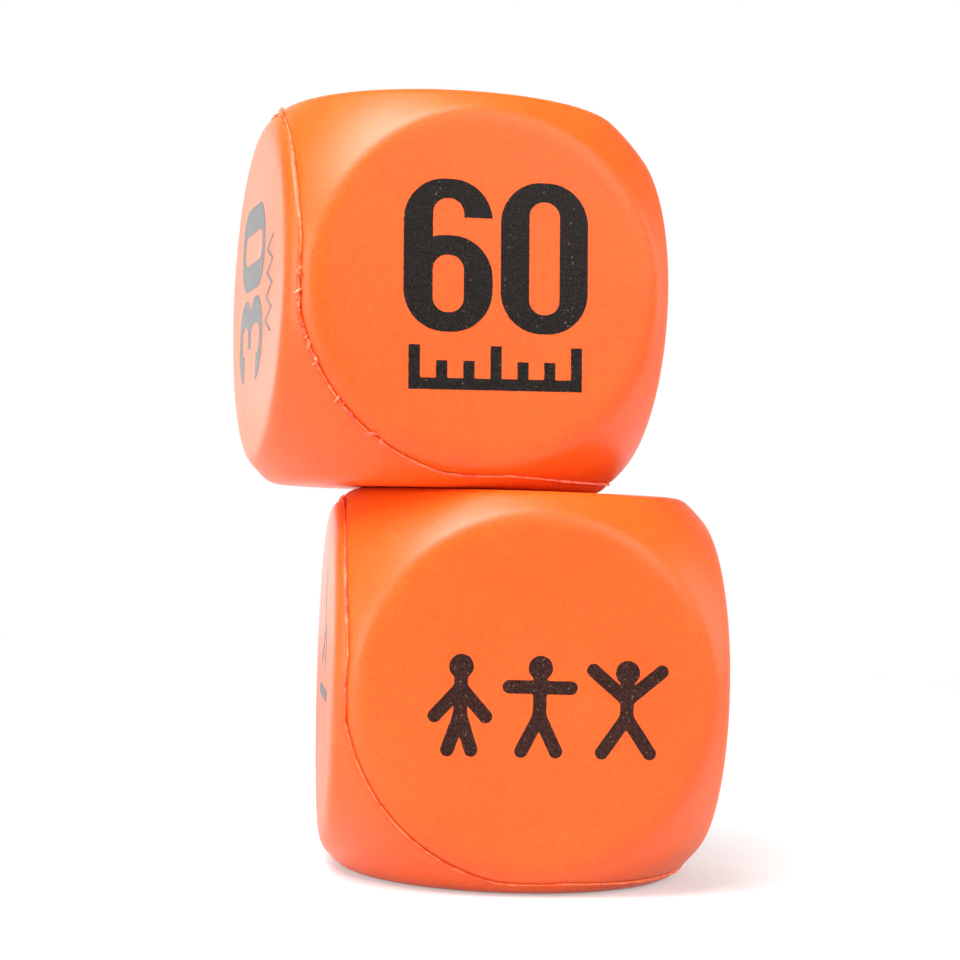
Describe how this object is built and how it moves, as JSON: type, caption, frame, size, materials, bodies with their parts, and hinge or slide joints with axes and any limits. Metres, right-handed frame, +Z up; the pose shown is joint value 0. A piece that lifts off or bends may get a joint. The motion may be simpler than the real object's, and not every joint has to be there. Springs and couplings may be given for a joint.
{
  "type": "pair of foam game dice",
  "caption": "Moulded foam game dice stacked one on the other, with rounded edges, round flat faces, inked numerals and exercise figures; the upper die lifts off.",
  "frame": {"origin": "centre of the lower die's flat bottom face, on the surface that the dice stand on", "axes": "+Z up through the stack, -Y out of the lower die's front face, +X to the right as seen from the front"},
  "size_m": [0.1135, 0.0992, 0.1781],
  "materials": {
    "foam_core": "soft open-cell polyurethane foam, matt",
    "foam_skin": "dense self-formed polyurethane skin, satin, with fine pinholes and scuffs",
    "parting_flash": "thin ragged foam fin, matt",
    "upper_ink": "black screen ink with a fine wrinkled grain and light specks",
    "lower_ink": "worn brown-black screen ink with a fine wrinkled grain and light specks"
  },
  "bodies": {
    "lower_die": {"lower_back_skin_half": "foam_skin", "lower_foam_core": "foam_core", "lower_front_skin_half": "foam_skin", "lower_parting_flash": "parting_flash", "lower_back_mat": "lower_ink", "lower_back_push_up_figure": "lower_ink", "lower_bottom_mat": "lower_ink", "lower_bottom_plank_figure": "lower_ink", "lower_front_jump_middle_figure": "lower_ink", "lower_front_jump_start_figure": "lower_ink", "lower_front_jump_top_figure": "lower_ink", "lower_left_lunge_figure": "lower_ink", "lower_left_mat": "lower_ink", "lower_right_mat": "lower_ink", "lower_right_squat_figure": "lower_ink", "lower_top_mat": "lower_ink", "lower_top_sit_up_figure": "lower_ink"},
    "upper_die": {"upper_back_skin_half": "foam_skin", "upper_foam_core": "foam_core", "upper_front_skin_half": "foam_skin", "upper_parting_flash": "parting_flash", "upper_back_seconds_mark": "upper_ink", "upper_back_tens_digit_1": "upper_ink", "upper_back_units_digit_5": "upper_ink", "upper_bottom_repeats_mark": "upper_ink", "upper_bottom_tens_digit_1": "upper_ink", "upper_bottom_units_digit_0": "upper_ink", "upper_front_seconds_mark": "upper_ink", "upper_front_tens_digit_6": "upper_ink", "upper_front_units_digit_0": "upper_ink", "upper_left_repeats_mark": "upper_ink", "upper_left_tens_digit_3": "upper_ink", "upper_left_units_digit_0": "upper_ink", "upper_right_repeats_mark": "upper_ink", "upper_right_tens_digit_2": "upper_ink", "upper_right_units_digit_0": "upper_ink", "upper_top_seconds_mark": "upper_ink", "upper_top_tens_digit_4": "upper_ink", "upper_top_units_digit_5": "upper_ink"}
  },
  "joints": [
    {"name": "upper_die_lift", "type": "slide", "parent": "lower_die", "child": "upper_die", "axis": [0, 0, 1], "range_m": [0, 0.1]}
  ]
}
